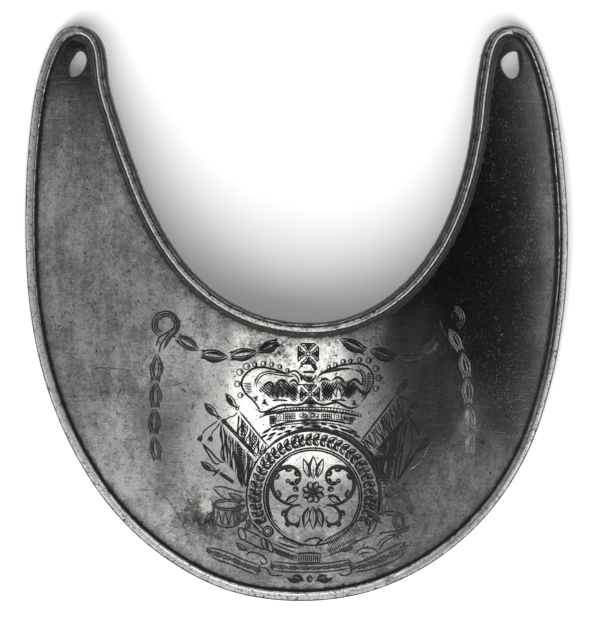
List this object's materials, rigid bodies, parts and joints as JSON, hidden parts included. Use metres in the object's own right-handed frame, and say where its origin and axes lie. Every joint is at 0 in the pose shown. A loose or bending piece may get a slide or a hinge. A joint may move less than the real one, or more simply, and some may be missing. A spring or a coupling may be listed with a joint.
{
  "type": "crescent gorget",
  "caption": "Domed crescent neck plate of steel sheet with a rolled outer bead, a reeded neck moulding, a ribbon hole in each horn and an engraved front.",
  "frame": {"origin": "on the table under the middle of the plate's box, as it lies on its back", "axes": "+X across the plate to the viewer's right, +Y from the bottom edge up to the horns, +Z out of the engraved front"},
  "size_m": [0.12, 0.1274, 0.0257],
  "materials": {
    "worn_steel": "old hand-polished steel, scratched, pitted and stained, with dark dirt in the grooves and cuts"
  },
  "bodies": {
    "root": {"gorget_plate": "worn_steel"}
  },
  "joints": []
}
